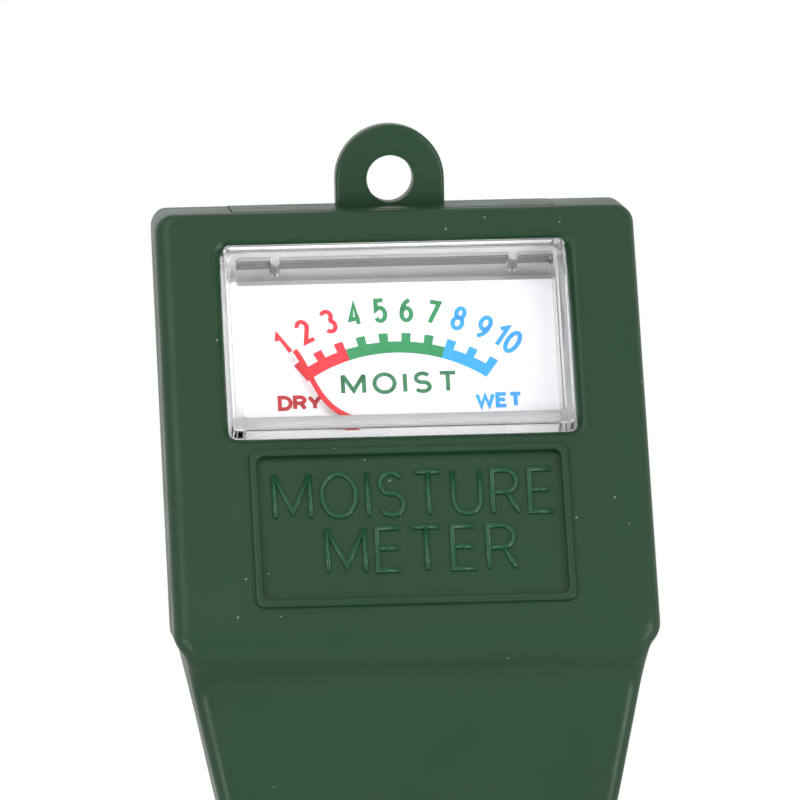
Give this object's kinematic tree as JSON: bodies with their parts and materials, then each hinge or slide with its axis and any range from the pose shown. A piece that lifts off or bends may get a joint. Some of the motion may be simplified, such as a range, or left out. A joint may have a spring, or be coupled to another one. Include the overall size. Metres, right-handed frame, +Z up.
{
  "type": "soil moisture meter",
  "caption": "Garden soil moisture meter: tilted green head with a dial window and swinging needle, hanging loop, tapered neck and a two-metal probe.",
  "frame": {"origin": "on the probe's axis, where the probe leaves the neck", "axes": "+Z up along the probe towards the head, -Y the way the dial faces, +X to the right seen from the front"},
  "size_m": [0.0484, 0.0344, 0.2837],
  "materials": {
    "green_plastic": "satin moulded",
    "clear_plastic": "polished clear",
    "white_plastic": "moulded",
    "dial_paint": "matt white with printed scale",
    "red_paint": "gloss",
    "brass": "turned",
    "aluminium": "plain",
    "copper_wire": "enamelled winding",
    "steel": "zinc plated",
    "soft_iron": "plated",
    "magnet_alloy": "ground",
    "zinc_casting": "as cast",
    "spring_bronze": "plain",
    "black_plastic": "moulded",
    "red_wire": "plain",
    "black_wire": "plain",
    "tube_metal": "satin drawn",
    "tip_metal": "turned copper alloy"
  },
  "bodies": {
    "housing": {"front_shell": "green_plastic", "rear_cover": "green_plastic", "housing_screws": "steel", "window_cover": "clear_plastic", "meter_case": "white_plastic", "case_screws": "steel", "movement_screen": "white_plastic", "dial_plate": "dial_paint", "dial_screws": "steel", "front_hairspring": "spring_bronze", "rear_hairspring": "spring_bronze", "front_bearing": "brass", "rear_bearing": "brass", "front_bridge": "aluminium", "rear_bridge": "aluminium", "bridge_screws": "steel", "zero_arm": "spring_bronze", "movement_frame": "zinc_casting", "frame_screws": "steel", "return_ring": "soft_iron", "core_magnet": "magnet_alloy", "terminals": "brass", "red_lead": "red_wire", "black_lead": "black_wire", "tube_tag": "steel", "probe_bush": "black_plastic", "probe_tube": "tube_metal", "insulating_sleeve": "black_plastic", "centre_rod": "steel", "tip_insulator": "black_plastic", "probe_tip": "tip_metal"},
    "needle_system": {"needle": "red_paint", "counterweight": "brass", "coil_former": "aluminium", "moving_coil": "copper_wire", "pivot_staffs": "steel"}
  },
  "joints": [
    {"name": "needle_swing", "type": "hinge", "parent": "housing", "child": "needle_system", "pos_m": [-0.0003, 0.00495, 0.06334], "axis": [0, 0.866, -0.5], "range_deg": [0, 69], "stiffness_Nm_per_rad": 0.00002, "springref_deg": -6.88}
  ]
}
